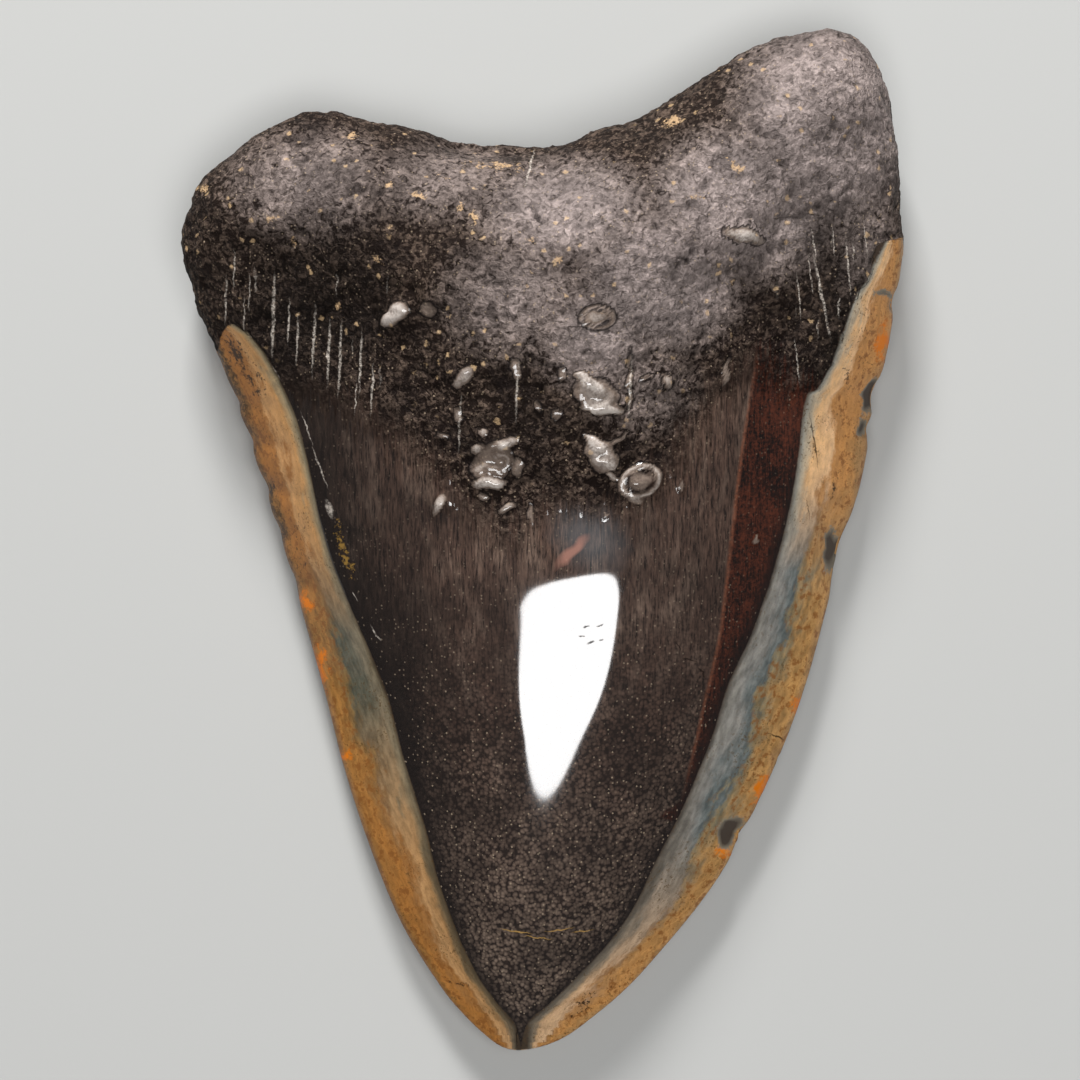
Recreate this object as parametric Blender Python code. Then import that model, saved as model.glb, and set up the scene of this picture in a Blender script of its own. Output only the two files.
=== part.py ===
"""A polished megalodon tooth: one piece of fossil, lying on its labial (outer) face, lingual (inner) face up.

Frame: +Z up, with the tooth resting on Z = 0. +Y runs from the tip to the root, and +X is to the right as
seen from above. The origin is the middle of the tooth's outline, on the plane that it rests on.

The mesh is a net of four-sided patches. An inner window covers the dark dentine and the face of the root, and
rings of faces run from the window out to the edge: they carry the flat ground band of enamel down the two
sides of the crown, and the rolled rim of the root. The labial side has the same net at half the fineness.
"""

import math

import bmesh
import bpy
import numpy as np
from mathutils import Vector, noise

MM = 0.001  # every size below is in millimetres

# The edge of the tooth from above, anticlockwise. Each stretch ends where the next one starts.
EDGE = {
    "tip": [(-13.4, -58.4), (-10.6, -61.9), (-7.4, -65.0), (-4.7, -66.8), (-1.6, -66.9), (2.9, -65.4),
            (7.7, -61.9), (11.3, -58.8)],
    "right": [(14.6, -55.3), (20.4, -48.4), (24.6, -42.3), (28.5, -34.6), (32.4, -25.8), (35.1, -18.0),
              (37.4, -9.4), (40.0, 0.6), (42.2, 8.4), (43.8, 17.6), (45.2, 24.6), (46.3, 31.4), (46.7, 38.5),
              (46.4, 49.0)],
    "root": [(45.6, 56.0), (44.5, 60.6), (42.6, 64.4), (38.6, 66.9), (33.5, 66.0), (28.3, 64.7), (22.6, 61.0),
             (16.6, 57.3), (12.4, 54.4), (7.4, 53.4), (3.4, 51.2), (-4.0, 51.3), (-10.0, 51.4), (-17.0, 53.6),
             (-23.0, 54.4), (-29.0, 55.9), (-34.6, 54.2), (-39.4, 51.0)],
    "left": [(-44.0, 47.2), (-46.6, 42.0), (-46.4, 35.9), (-44.6, 30.0), (-42.0, 23.6), (-39.4, 16.2),
             (-36.6, 7.6), (-34.0, -0.6), (-31.4, -9.6), (-28.4, -20.4), (-25.8, -30.6), (-22.4, -40.8),
             (-18.2, -50.8)],
}
# The inner window from above: the line where the enamel band starts, carried on across the face of the root.
WINDOW = {
    "tip": [(-8.1, -57.5), (-5.5, -61.1), (-3.2, -63.9), (-0.6, -62.2)],
    "right": [(4.9, -56.7), (10.4, -50.2), (15.1, -41.2), (20.1, -30.6), (23.4, -21.0), (27.8, -10.4),
              (31.2, 0.2), (33.2, 10.4), (34.2, 18.4), (38.2, 25.4), (41.0, 32.4), (43.6, 38.4), (43.2, 45.4),
              (41.6, 51.0)],
    "root": [(39.6, 55.5), (33.0, 57.6), (25.4, 54.4), (16.8, 49.2), (8.2, 46.0), (0.0, 44.0), (-8.1, 44.0),
             (-16.2, 45.6), (-24.2, 47.4), (-31.0, 46.8)],
    "left": [(-36.6, 43.0), (-39.4, 38.4), (-40.4, 33.4), (-39.4, 28.4), (-35.2, 23.0), (-31.6, 14.8),
             (-29.4, 5.0), (-26.8, -4.0), (-22.8, -13.4), (-19.4, -22.8), (-16.2, -34.0), (-12.6, -47.0)],
}
# Sections across the tooth: y, where its left and right flanks are, and how high the flanks and the middle stand.
SECTIONS = [
    (-66.0, -5.6, 0.4, 5.0, 5.2),
    (-58.0, -8.1, 5.1, 7.0, 8.8),
    (-45.0, -14.2, 14.6, 8.8, 13.8),
    (-25.0, -19.2, 23.2, 10.8, 18.6),
    (-8.0, -25.0, 29.4, 12.2, 21.4),
    (6.0, -29.4, 33.0, 13.4, 23.2),
    (16.0, -32.6, 34.0, 14.4, 25.4),
    (27.0, -37.0, 38.0, 15.2, 27.6),
    (38.0, -39.0, 41.0, 15.2, 26.6),
    (48.0, -39.0, 41.0, 14.6, 21.6),
    (58.0, -38.0, 41.0, 14.0, 17.0),
    (68.0, -38.0, 41.0, 13.6, 14.6),
]
CUTTING_EDGE_HEIGHT = 3.1  # of the blunt edge of the crown, above the table
ROOT_EDGE_HEIGHT = 8.6  # of the middle of the root's rim
EDGE_BLUNTNESS = 0.16  # share of the band's rise that its outermost half millimetre makes
RIM_ROLL = 10.5  # radius of the rounded rim of the root
LABIAL_ROLL = 9.0
BAND_TOP_LEFT = 27.6  # y where the enamel band runs out, at each side
BAND_TOP_RIGHT = 37.6

# The crest of each root lobe: x and y of its two ends, half width, height
LOBES = [
    (-2.0, 35.0, -37.0, 46.0, 15.0, 4.0),
    (2.0, 33.0, 39.0, 59.0, 17.0, 5.0),
]
# Swellings and hollows of the lingual face: x, y, radius along x and y, height
SWELLINGS = [
    (0.6, 46.0, 3.6, 13.0, -1.3),  # groove down to the nutrient hole
    (-0.5, 41.0, 2.2, 2.4, -1.0),  # nutrient hole
    (0.0, 5.0, 20.0, 9.0, -0.7),  # neck under the root, where the crown starts
    (29.5, 12.0, 5.0, 16.0, -0.5),  # flat ground into the dentine beside the right band
]
# The notch between the lobes has a low shelf outside its rim: left and right end, width, height
SHELF = (-15.0, 0.5, 1.7, 10.2)
# Smooth blisters on the lower root: x, y, half length, half width, turn in degrees
BLISTERS = [
    (7.4, 18.7, 3.6, 2.4, -22.0),
    (7.9, 10.6, 2.9, 2.5, -35.0),
    (12.3, 7.4, 2.6, 2.2, 20.0),
    (-6.6, 11.6, 2.8, 1.9, 10.0),
    (-7.4, 7.9, 2.6, 1.8, -8.0),
    (-13.0, 4.4, 2.1, 1.5, 65.0),
    (-18.7, 28.9, 2.6, 2.1, 40.0),
    (-10.4, 20.8, 2.4, 1.7, 60.0),
    (14.2, 20.6, 2.8, 1.8, 5.0),
    (25.6, 39.0, 3.6, 1.9, -14.0),
]
BLISTER_HEIGHT = 0.75
BLISTER_MOAT = 0.35  # depth of the ring around each one, as a share of its height
# Chips out of the edge of the enamel: x, y, radius
CHIPS = [
    (46.2, 31.6, 1.6),
    (43.6, 19.2, 2.6),
    (42.8, 14.8, 1.6),
    (39.4, 0.6, 2.6),
    (38.4, -3.2, 2.4),
    (25.4, -38.4, 2.4),
    (-40.6, 18.2, 1.5),
    (-38.8, 13.2, 1.7),
    (-36.6, 7.0, 1.7),
    (-34.8, 0.8, 1.5),
    (-32.8, -5.4, 1.3),
]
CHIP_BITE = 0.7  # how far a chip sets the edge in
CHIP_DEPTH = 1.3  # how deep it scoops the band
LUMP_SPREAD = (7.0, 3.4)  # sizes of the lumps on the root
LUMP_HEIGHT = (0.7, 0.5)
LABIAL_HOLLOW = (1.0, 36.0, 17.0, 13.0, 2.4)  # the hollow between the lobes, as in SWELLINGS
TIP_LIFT = (-2.6, -66.0, 22.0, 22.0, 1.4)  # the labial face curves up to the tip

COLUMNS = 42
CROWN_ROWS, ROOT_ROWS = 26, 36
CROWN_SHARE = 0.57  # of the window's length, where the finer rows of the root start
LINGUAL_RINGS = (0.05, 0.16, 0.36, 0.66)  # places between the edge and the window
LABIAL_RINGS = (0.14, 0.5)
CURVE_STEPS = 24


def smoothstep(low, high, value):
    share = min(1.0, max(0.0, (value - low) / (high - low)))
    return share * share * (3.0 - 2.0 * share)


def mix(a, b, share):
    return a + (b - a) * share


def bump(x, y, spot):
    """Height at (x, y) of one swelling: a smooth hill that ends at its radius, so what lies beyond stays flat."""
    far = math.hypot((x - spot[0]) / spot[2], (y - spot[1]) / spot[3])
    return spot[4] * max(0.0, 1.0 - far * far) ** 2


def crest(x, y, lobe):
    """Height at (x, y) of one lobe of the root: a rounded bar along its crest."""
    start, end = Vector(lobe[0:2]), Vector(lobe[2:4])
    run = end - start
    share = min(1.0, max(0.0, (Vector((x, y)) - start).dot(run) / run.length_squared))
    far = (Vector((x, y)) - start - run * share).length / lobe[4]
    return lobe[5] * max(0.0, 1.0 - far * far) ** 2 * smoothstep(0.0, 0.7, share)


def smooth_through(points, closed):
    """Many points on a smooth curve through these ones, CURVE_STEPS of them to each stretch."""
    points = np.array(points, float)
    if closed:
        points = np.vstack([points[-1], points, points[0], points[1]])
    else:
        points = np.vstack([2 * points[0] - points[1], points, 2 * points[-1] - points[-2]])
    t = np.linspace(0.0, 1.0, CURVE_STEPS, endpoint=False)[:, None]
    parts = [
        b + 0.5 * ((c - a) * t + (2 * a - 5 * b + 4 * c - d) * t**2 + (3 * b - a - 3 * c + d) * t**3)
        for a, b, c, d in zip(points, points[1:], points[2:], points[3:])
    ]
    return np.vstack([*parts, points[-2]])


def spaced(curve, fractions):
    """The points at these fractions of a curve's length."""
    run = np.concatenate([[0.0], np.cumsum(np.linalg.norm(np.diff(curve, axis=0), axis=1))])
    return np.column_stack([np.interp(fractions, run / run[-1], curve[:, axis]) for axis in (0, 1)])


def row_fractions():
    """Where the rows cross the window's sides: wide apart on the plain crown, close together on the root."""
    crown = np.linspace(0.0, CROWN_SHARE, CROWN_ROWS, endpoint=False)
    return np.concatenate([crown, np.linspace(CROWN_SHARE, 1.0, ROOT_ROWS + 1)])


def sides_of(stretches):
    """The four sides of a closed outline, each with a point for every column or row of the net."""
    whole = smooth_through([point for stretch in stretches.values() for point in stretch], closed=True)
    rows, columns = row_fractions(), np.linspace(0.0, 1.0, COLUMNS + 1)
    fractions = {"tip": columns, "right": rows, "root": columns, "left": 1.0 - rows[::-1]}
    sides, start = {}, 0
    for name, stretch in stretches.items():
        end = start + CURVE_STEPS * len(stretch)
        sides[name] = spaced(whole[start : end + 1], fractions[name])
        start = end
    return sides


def around(sides):
    """All four sides as one loop, each corner once."""
    return np.vstack([sides[name][:-1] for name in ("tip", "right", "root", "left")])


def patch(sides):
    """A net of points that fills the window between its four sides (a Coons patch)."""
    low, high = sides["tip"], sides["root"][::-1]
    left, right = sides["left"][::-1], sides["right"]
    u = np.linspace(0.0, 1.0, COLUMNS + 1)[:, None, None]
    v = row_fractions()[None, :, None]
    across = (1 - u) * left[None] + u * right[None]
    along = (1 - v) * low[:, None] + v * high[:, None]
    corners = (1 - v) * ((1 - u) * low[0] + u * low[-1]) + v * ((1 - u) * high[0] + u * high[-1])
    return across + along - corners


def window_loop():
    """Row and column of each point round the window, in the order of around()."""
    rows = CROWN_ROWS + ROOT_ROWS
    loop = [(i, 0) for i in range(COLUMNS)]
    loop += [(COLUMNS, j) for j in range(rows)]
    loop += [(i, rows) for i in range(COLUMNS, 0, -1)]
    loop += [(0, j) for j in range(rows, 0, -1)]
    return loop


SECTION_CURVE = [smooth_through([(s[0], s[k]) for s in SECTIONS], closed=False) for k in (1, 2, 3, 4)]


def dome(x, y):
    """Height of the lingual face, before its rim is rolled and its details are cut."""
    left, right, flank, middle = (np.interp(y, curve[:, 0], curve[:, 1]) for curve in SECTION_CURVE)
    across = (x - (left + right) / 2) / ((right - left) / 2)
    crown_arch = 1.0 - across**2
    root_arch = math.cos(math.pi / 2 * min(1.0, abs(across))) ** 1.7
    height = flank + (middle - flank) * mix(crown_arch, root_arch, smoothstep(2.0, 30.0, y))
    lobes = sum(crest(x, y, lobe) for lobe in LOBES)
    return height + lobes + sum(bump(x, y, swelling) for swelling in SWELLINGS)


def root_share(x, y):
    """0 on the crown and 1 on the root. The root reaches further down in the middle, in a wide V."""
    return smoothstep(-4.0, 8.0, y - 5.0 - 0.42 * abs(x - 1.0))


def band_share(x, y):
    """1 beside the enamel band and 0 above it, with a short fade where the band runs out."""
    top = mix(BAND_TOP_LEFT, BAND_TOP_RIGHT, smoothstep(-40.0, 40.0, x))
    return 1.0 - smoothstep(-2.0, 2.0, y - top)


def edge_height(y):
    return mix(CUTTING_EDGE_HEIGHT, ROOT_EDGE_HEIGHT, smoothstep(8.0, 46.0, y)) + bump(0, y, (0, -67.0, 1, 14.0, 0.8))


def lumps(x, y):
    """Uneven swellings of the root's bony surface."""
    return sum(
        height * noise.noise(Vector((x, y, 9.0 * n)) / spread)
        for n, (spread, height) in enumerate(zip(LUMP_SPREAD, LUMP_HEIGHT))
    )


def blisters(x, y):
    """Height of the oval blisters: smooth domes, each in a shallow moat."""
    height = 0.0
    for cx, cy, long_half, short_half, turn in BLISTERS:
        cos, sin = math.cos(math.radians(turn)), math.sin(math.radians(turn))
        along, aside = (x - cx) * cos + (y - cy) * sin, (y - cy) * cos - (x - cx) * sin
        far = math.hypot(along / long_half, aside / short_half)
        moat = BLISTER_MOAT * math.exp(-(((far - 1.3) / 0.3) ** 2))
        height += BLISTER_HEIGHT * (math.sqrt(max(0.0, 1.0 - far * far)) - moat)
    return height


def chip(x, y):
    """1 at the middle of a chip in the enamel's edge, down to 0 outside it."""
    return max(max(0.0, 1.0 - ((x - cx) ** 2 + (y - cy) ** 2) / r**2) for cx, cy, r in CHIPS)


def rolled(far, radius):
    """Share of the full height at this distance in from a rim with this radius."""
    return math.sqrt(1.0 - (1.0 - min(1.0, far / radius)) ** 2)


class Tooth:
    """The plan of the net and the heights of its two faces."""

    def __init__(self):
        window = sides_of(WINDOW)
        self.inner = patch(window)
        self.window = around(window)
        edge = around(sides_of(EDGE))
        rough = np.array([0.5 * noise.noise(Vector((x, y, 3.0)) / 4.0) * root_share(x, y) for x, y in edge])
        bite = np.array([CHIP_BITE * chip(x, y) for x, y in edge])
        inwards = self.window - edge
        inwards /= np.linalg.norm(inwards, axis=1)[:, None]
        self.edge = edge + inwards * (rough + bite)[:, None]

    def distance_in(self, x, y):
        """Distance from a point to the nearest place on the edge."""
        start, run = self.edge, np.roll(self.edge, -1, axis=0) - self.edge
        share = np.clip(((x - start[:, 0]) * run[:, 0] + (y - start[:, 1]) * run[:, 1]) / (run**2).sum(1), 0, 1)
        nearest = start + run * share[:, None]
        return float(np.hypot(nearest[:, 0] - x, nearest[:, 1] - y).min())

    def lingual(self, x, y):
        """Height of the lingual face in the window, or of the root's rim."""
        root = root_share(x, y)
        low = edge_height(y)
        far = self.distance_in(x, y)
        rim = low + (dome(x, y) - low) * rolled(far, RIM_ROLL)
        height = mix(dome(x, y), rim, smoothstep(6.0, 26.0, y))
        left, right, width, shelf = SHELF
        on_shelf = smoothstep(left, left + 3.0, x) * (1.0 - smoothstep(right - 3.0, right, x))
        on_shelf *= smoothstep(30.0, 36.0, y) * (1.0 - smoothstep(width * 0.8, width * 1.2, far))
        height = mix(height, min(height, shelf), on_shelf)
        return height + root * lumps(x, y) + blisters(x, y)

    def band(self, k, share):
        """Height of the lingual face between the edge and the window, at point k of the loop."""
        x, y = mix(self.edge[k], self.window[k], share)
        inner = self.lingual(*self.window[k])
        low = edge_height(y)
        ground = low + (inner - low) * mix(EDGE_BLUNTNESS, 1.0, share) - CHIP_DEPTH * chip(x, y)
        return mix(self.lingual(x, y), max(ground, low + 0.3), band_share(x, y))

    def labial(self, x, y):
        """Height of the underside: flat, with a rolled rim at the root and a hollow between its lobes."""
        rim = edge_height(y) * (1.0 - rolled(self.distance_in(x, y), LABIAL_ROLL))
        return rim * smoothstep(-4.0, 24.0, y) + bump(x, y, LABIAL_HOLLOW) + bump(x, y, TIP_LIFT)

    def labial_band(self, k, share):
        """Height of the underside between the edge and the window, at point k of the loop."""
        x, y = mix(self.edge[k], self.window[k], share)
        inner = self.labial(*self.window[k])
        bevel = inner + (edge_height(y) - inner) * (1.0 - share) ** 1.8
        return mix(self.labial(x, y), bevel, band_share(x, y))


def net(mesh, tooth, height, band_height, rings, step, rim):
    """One face of the tooth, joined to the rim's points. A step of 2 halves its fineness. Returns its band's faces."""
    loop = window_loop()
    rows, count = CROWN_ROWS + ROOT_ROWS, len(loop)
    points = {
        (i, j): mesh.verts.new((x * MM, y * MM, height(x, y) * MM))
        for i in range(0, COLUMNS + 1, step)
        for j in range(0, rows + 1, step)
        for x, y in [tooth.inner[i, j]]
    }
    for i in range(0, COLUMNS, step):
        for j in range(0, rows, step):
            mesh.faces.new([points[i, j], points[i + step, j], points[i + step, j + step], points[i, j + step]])
    loops = [[rim[k] for k in range(count)]]
    for share in rings:
        loops.append([None] * count)
        for k in range(0, count, step):
            x, y = mix(tooth.edge[k], tooth.window[k], share)
            loops[-1][k] = mesh.verts.new((x * MM, y * MM, band_height(k, share) * MM))
    loops.append([points.get(place) for place in loop])
    band = []
    for outer, inner in zip(loops, loops[1:]):
        for k in range(0, count, step):
            after = (k + step) % count
            outside = [outer[n % count] for n in range(k, k + step + 1)]
            corners = [point for point in outside if point] + [inner[after], inner[k]]
            band.append(mesh.faces.new(corners))
    return band


def finish(name, colour, roughness):
    """A Principled material."""
    material = bpy.data.materials.new(name)
    material.use_nodes = True
    shader = material.node_tree.nodes["Principled BSDF"]
    shader.inputs["Base Color"].default_value = (*colour, 1.0)
    shader.inputs["Roughness"].default_value = roughness
    material.diffuse_color = (*colour, 1.0)
    return material


def make_tooth():
    tooth = Tooth()
    mesh = bmesh.new()
    rim = [mesh.verts.new((x * MM, y * MM, edge_height(y) * MM)) for x, y in tooth.edge]
    lingual_band = net(mesh, tooth, tooth.lingual, tooth.band, LINGUAL_RINGS, 1, rim)
    lingual_faces = len(mesh.faces)
    labial_band = net(mesh, tooth, tooth.labial, tooth.labial_band, LABIAL_RINGS, 2, rim)
    mesh.faces.ensure_lookup_table()
    bmesh.ops.reverse_faces(mesh, faces=mesh.faces[lingual_faces:])
    for face in lingual_band + labial_band:
        middle = face.calc_center_median() / MM
        face.material_index = 1 if band_share(middle.x, middle.y) > 0.5 else 0
    for face in mesh.faces:
        face.smooth = True
    low = Vector(min(vert.co[axis] for vert in mesh.verts) for axis in range(3))
    high = Vector(max(vert.co[axis] for vert in mesh.verts) for axis in range(3))
    middle = (low + high) / 2
    bmesh.ops.translate(mesh, verts=mesh.verts, vec=(-middle.x, -middle.y, -low.z))
    data = bpy.data.meshes.new("tooth")
    mesh.to_mesh(data)
    mesh.free()
    data.materials.append(finish("fossil dentine", (0.055, 0.038, 0.03), 0.3))
    data.materials.append(finish("fossil enamel", (0.42, 0.26, 0.13), 0.22))
    bpy.context.collection.objects.link(bpy.data.objects.new("tooth", data))


def main():
    for old in list(bpy.data.objects):
        bpy.data.objects.remove(old)
    make_tooth()


main()
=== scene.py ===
"""A polished megalodon tooth, lying loose under soft studio light.

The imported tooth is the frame. Its mesh is copied, refined and embossed with the relief of the fossil, then
given one material whose parts are the bared dentine, the ground enamel and the rough root. Places and sizes
on the tooth are in millimetres: +X right and +Y from the tip to the root, as seen from above.
"""

import functools
import math
import types

import bpy
import numpy as np
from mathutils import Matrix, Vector


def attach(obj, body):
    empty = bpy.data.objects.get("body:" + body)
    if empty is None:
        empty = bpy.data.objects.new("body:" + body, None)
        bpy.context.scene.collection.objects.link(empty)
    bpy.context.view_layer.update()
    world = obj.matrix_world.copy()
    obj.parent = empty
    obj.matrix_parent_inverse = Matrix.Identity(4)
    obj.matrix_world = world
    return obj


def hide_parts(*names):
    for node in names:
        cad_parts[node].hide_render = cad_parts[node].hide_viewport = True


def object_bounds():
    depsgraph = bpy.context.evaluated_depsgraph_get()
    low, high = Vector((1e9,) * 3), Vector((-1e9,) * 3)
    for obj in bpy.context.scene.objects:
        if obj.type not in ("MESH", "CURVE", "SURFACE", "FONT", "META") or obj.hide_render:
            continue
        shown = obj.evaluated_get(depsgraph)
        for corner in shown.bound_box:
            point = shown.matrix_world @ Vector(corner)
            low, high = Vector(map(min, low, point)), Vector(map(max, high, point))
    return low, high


bl_info = {
    "name": "Fossil Tooth",
    "version": (1, 0, 0),
    "blender": (4, 5, 0),
    "location": "View3D > Sidebar > Fossil",
    "description": "Finishes a polished megalodon tooth and lights it",
    "category": "Object",
}

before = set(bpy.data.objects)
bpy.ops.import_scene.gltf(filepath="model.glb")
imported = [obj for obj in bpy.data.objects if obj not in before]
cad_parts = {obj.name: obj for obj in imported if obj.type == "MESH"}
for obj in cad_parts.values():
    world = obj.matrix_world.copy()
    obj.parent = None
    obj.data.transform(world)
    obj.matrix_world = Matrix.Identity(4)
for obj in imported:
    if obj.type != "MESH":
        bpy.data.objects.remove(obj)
CAD_LOW, CAD_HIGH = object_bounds()
# A millimetre in metres
MM = 0.001

# Where the enamel of the underside ends at the root, from left to right
UNDERSIDE_LINE = [(-44.0, 27.0), (-20.0, 21.0), (2.0, 18.0), (24.0, 24.0), (46.0, 38.0)]
# The underside's stain is that of the bands at this share of the way across
UNDERSIDE_SHARE = 0.7
# How wide a band usually is, and the least width that a share is taken of
USUAL_BAND = 13.0
NARROWEST_BAND = 0.5
# The underside has no marks: it lies this far off them all
FAR_OFF = 9.0
# How far apart the root's wrinkles and pebbles are, and its broad swells, and how high the swells are
GRAIN_SPACING = 1.7
SWELL_SPACING = 6.0
SWELL_HEIGHT = 0.4
# How far the refining draws the cutting edge in
DRAWN_IN = 0.28
# How far the outlines of lumps, hollows and marks wander
UNEVEN = 0.17
# Where the ridge round a ring or a fold is highest, and its width, as shares of the way to the oval's rim
RIM_MIDDLE = 0.9
RIM_WIDTH = 0.16
# The underside ends and the upper side starts where a normal's upward part is between minus this and this
EDGE_TURN = 0.1
# A place beyond the outline counts as this share of the way across at most
PAST_OUTLINE = 1.2
# Vertex weights are rounded to one part in this many
WEIGHT_STEPS = 200

# The floor's side and the spot under the camera, in metres, and the lens in millimetres
FLOOR_SIDE = 4.0
CAMERA_OVER = (-0.00028, 0.00009)
CAMERA_LENS = 150.0
# The colour and the strength of the light all round
ROOM_LIGHT = (0.92, 0.96, 1.0, 1.0)
ROOM_STRENGTH = 0.1

# The inner edges of the enamel that is left down each side of the crown, from the tip up
LEFT_BAND = [
    (-3.4, -63.9), (-5.5, -61.1), (-8.1, -57.5), (-10.4, -52.9), (-12.0, -48.7), (-13.7, -43.7),
    (-15.0, -38.1), (-16.6, -32.9), (-18.3, -27.3), (-19.9, -20.7), (-22.6, -13.8), (-25.2, -7.9),
    (-27.2, -2.9), (-28.8, 2.6), (-30.1, 9.2), (-31.8, 15.8), (-34.1, 21.0), (-36.0, 24.4), (-38.0, 26.7),
    (-40.0, 28.1), (-41.5, 27.3), (-42.3, 25.2),
]
RIGHT_BAND = [
    (-1.9, -63.3), (0.8, -60.8), (4.9, -56.7), (9.1, -52.1), (12.1, -47.6), (15.1, -41.2), (17.8, -35.9),
    (20.1, -30.6), (22.3, -24.9), (24.2, -18.5), (26.9, -12.8), (28.7, -7.9), (29.4, -5.9), (31.0, -0.3),
    (32.3, 5.3), (33.2, 11.2), (33.7, 16.2), (34.3, 18.9), (35.6, 19.7), (37.3, 22.7), (38.6, 26.3),
    (40.2, 30.9), (42.5, 34.6), (44.6, 38.8),
]
LEFT_ENAMEL = LEFT_BAND + [
    (-43.6, 21.5), (-50.0, 14.0), (-54.0, -20.0), (-40.0, -66.0), (-6.0, -76.0), (-2.9, -70.0),
]
RIGHT_ENAMEL = RIGHT_BAND + [(58.0, 36.0), (58.0, -20.0), (40.0, -66.0), (-1.0, -76.0), (-2.7, -68.0)]
# The rough root, down to the ragged line where the polish of the crown starts
ROUGH_ROOT = [
    (-33.7, 20.4), (-27.8, 18.4), (-21.2, 15.1), (-13.3, 7.9), (-8.1, 2.6), (-4.1, 0.0), (0.5, 3.3),
    (7.7, 3.7), (14.3, 5.3), (20.8, 15.8), (27.4, 22.4), (34.0, 19.1), (60.0, 19.0), (60.0, 90.0),
    (-60.0, 90.0), (-60.0, 22.0),
]
# The red-brown dentine beside the right band of enamel
RED_DENTINE = [
    (28.6, 30.0), (27.4, 22.4), (25.4, 9.2), (23.5, -7.9), (22.8, -13.2), (21.2, -20.4), (19.3, -29.1),
    (18.2, -33.6), (17.0, -36.6), (44.0, -40.0), (46.0, 18.0), (36.0, 30.0),
]
# Where pale streaks run down each flank of the root, and where painted shade darkens those flanks: x, y,
# radius along x and y, strength
STREAKED_AND_SHADED = [(-29.6, 28.5, 13.0, 15.0, 1.0), (39.0, 30.5, 9.5, 15.0, 1.0)]
# Where a grey sheen is painted on the root, on its upper slopes that face the light: the same
PAINTED_SHEEN = [
    (37.0, 54.0, 15.0, 18.0, 1.3), (26.0, 43.0, 15.0, 12.0, 1.3), (15.0, 33.0, 13.0, 11.0, 1.3),
    (12.5, 19.5, 9.0, 7.5, 0.55), (7.0, 26.0, 10.0, 9.0, 1.0), (3.0, 42.0, 14.0, 9.0, 1.1),
    (-12.0, 46.0, 15.0, 7.0, 0.6), (-30.0, 46.0, 13.0, 9.0, 0.75), (-3.0, 31.0, 12.0, 10.0, 0.75),
    (42.0, 40.0, 6.0, 12.0, 0.6),
]

# Relief of the root: x, y, half length, half width, turn in degrees, share of the relief's height
LUMPS = [
    (6.9, 18.4, 3.4, 2.2, -25, 0.45), (6.0, 20.1, 2.6, 0.8, -30, 0.9), (7.6, 16.8, 2.9, 0.8, -5, 0.8),
    (7.6, 10.8, 2.6, 1.8, -45, 0.5), (6.7, 12.5, 1.9, 0.7, -35, 0.85), (8.3, 9.7, 1.4, 0.5, -30, 0.75),
    (8.9, 8.3, 0.9, 0.4, -30, 0.5), (-6.4, 10.0, 3.2, 2.6, 30, 0.3), (12.5, 7.6, 1.9, 1.3, 25, 0.3),
    (11.8, 5.2, 1.2, 0.5, 0, 0.4), (-8.1, 11.8, 1.0, 0.6, 35, 0.5), (-7.4, 13.7, 0.8, 0.6, 0, 0.5),
    (-4.7, 12.4, 1.7, 0.8, 10, 0.6), (-7.8, 9.4, 1.4, 0.5, 40, 0.45), (-6.8, 7.4, 2.4, 0.8, -3, 0.7),
    (-7.4, 5.7, 1.0, 0.5, -20, 0.4), (-3.1, 9.4, 0.8, 1.6, 0, 0.35), (-10.0, 20.8, 1.7, 0.9, 50, 0.5),
    (-10.7, 16.1, 0.7, 1.0, 0, 0.4), (-13.2, 4.6, 1.6, 0.7, 68, 0.55), (-4.5, 4.2, 1.1, 0.6, 25, 0.45),
    (-3.4, 21.7, 0.7, 1.4, 0, 0.4), (15.7, 20.5, 1.3, 0.6, 120, 0.45), (13.2, 20.7, 1.2, 0.4, 5, 0.3),
    (17.9, 6.9, 1.3, 0.4, 100, 0.3), (8.3, 3.2, 0.5, 0.4, 0, 0.3), (-18.7, 28.9, 2.2, 1.2, 45, 0.7),
    (-14.6, 29.5, 1.2, 1.2, 0, 0.3), (25.6, 39.0, 3.0, 0.9, -10, 0.6), (7.0, 28.3, 1.6, 1.0, 0, 0.45),
    (2.5, 21.0, 0.6, 1.1, 0, 0.3), (-0.5, 17.0, 0.5, 0.9, 0, 0.25), (-1.4, 3.4, 0.4, 1.7, 0, 0.3),
    (1.8, 16.0, 0.7, 0.8, 0, 0.3), (-12.7, 13.3, 0.7, 0.5, 0, 0.3), (11.1, 20.0, 0.35, 5.0, 0, 0.3),
    (9.6, 12.9, 1.9, 0.4, 35, 0.3), (23.5, 21.7, 2.4, 0.5, 80, 0.35), (27.6, 0.3, 0.6, 0.4, 50, 0.4),
]
# Raised rings: the same, for the rim of each of these
RINGS = [(12.5, 7.6, 2.7, 2.0, 25, 0.5), (-5.3, 10.1, 1.1, 1.0, 0, 0.45), (7.0, 28.3, 2.2, 1.5, 0, 0.3)]
# Folds in the root's skin: the same, for the lower part of the rim of each of these
FOLDS = [
    (18.2, 36.6, 2.4, 1.5, -10, 0.4), (13.4, 33.4, 2.0, 1.3, 10, 0.35), (18.0, 30.6, 1.8, 1.3, 60, 0.35),
    (11.0, 40.0, 2.6, 1.6, -20, 0.3), (-18.2, 25.4, 2.4, 1.6, 10, 0.3), (22.0, 33.0, 3.5, 2.2, 40, 0.35),
    (12.0, 26.0, 3.0, 2.0, 30, 0.35), (2.0, 24.0, 2.4, 1.6, 0, 0.3), (27.0, 44.0, 3.0, 2.0, -20, 0.3),
]
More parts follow.
